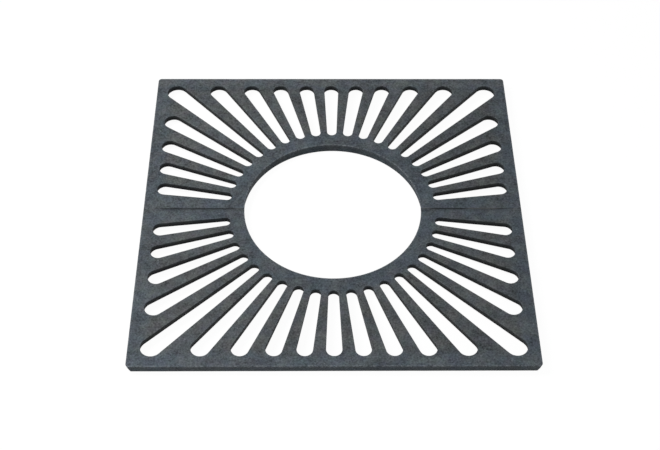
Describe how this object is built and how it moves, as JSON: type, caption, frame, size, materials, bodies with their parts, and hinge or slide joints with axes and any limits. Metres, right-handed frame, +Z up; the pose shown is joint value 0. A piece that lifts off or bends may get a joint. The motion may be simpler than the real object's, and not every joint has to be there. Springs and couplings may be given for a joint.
{
  "type": "tree grate",
  "caption": "Square cast iron tree grate split into bolted halves, with a round trunk opening, tapered radial slots reaching to a plain border, and ribs under both edges.",
  "frame": {"origin": "middle of the trunk opening, level with the undersides of the ribs, which are the lowest faces", "axes": "+Z up, square to the walking surface; X along the seam between the halves; the front half is on the -Y side"},
  "size_m": [1, 1, 0.03],
  "materials": {
    "cast_iron": "shot-blasted grey iron casting with a thin dark dip coat, matt and slightly mottled",
    "galvanised_steel": "hot-dip galvanised flat steel with a dull spangle",
    "zinc_fasteners": "bright zinc plated steel"
  },
  "bodies": {
    "root": {"rear_half": "cast_iron", "front_half": "cast_iron", "joint_plate_left": "galvanised_steel", "joint_plate_right": "galvanised_steel", "washer_left_front_inner": "zinc_fasteners", "washer_left_front_outer": "zinc_fasteners", "washer_left_rear_inner": "zinc_fasteners", "washer_left_rear_outer": "zinc_fasteners", "washer_right_front_inner": "zinc_fasteners", "washer_right_front_outer": "zinc_fasteners", "washer_right_rear_inner": "zinc_fasteners", "washer_right_rear_outer": "zinc_fasteners", "spring_washer_left_front_inner": "zinc_fasteners", "spring_washer_left_front_outer": "zinc_fasteners", "spring_washer_left_rear_inner": "zinc_fasteners", "spring_washer_left_rear_outer": "zinc_fasteners", "spring_washer_right_front_inner": "zinc_fasteners", "spring_washer_right_front_outer": "zinc_fasteners", "spring_washer_right_rear_inner": "zinc_fasteners", "spring_washer_right_rear_outer": "zinc_fasteners", "screw_left_front_inner": "zinc_fasteners", "screw_left_front_outer": "zinc_fasteners", "screw_left_rear_inner": "zinc_fasteners", "screw_left_rear_outer": "zinc_fasteners", "screw_right_front_inner": "zinc_fasteners", "screw_right_front_outer": "zinc_fasteners", "screw_right_rear_inner": "zinc_fasteners", "screw_right_rear_outer": "zinc_fasteners"}
  },
  "joints": []
}
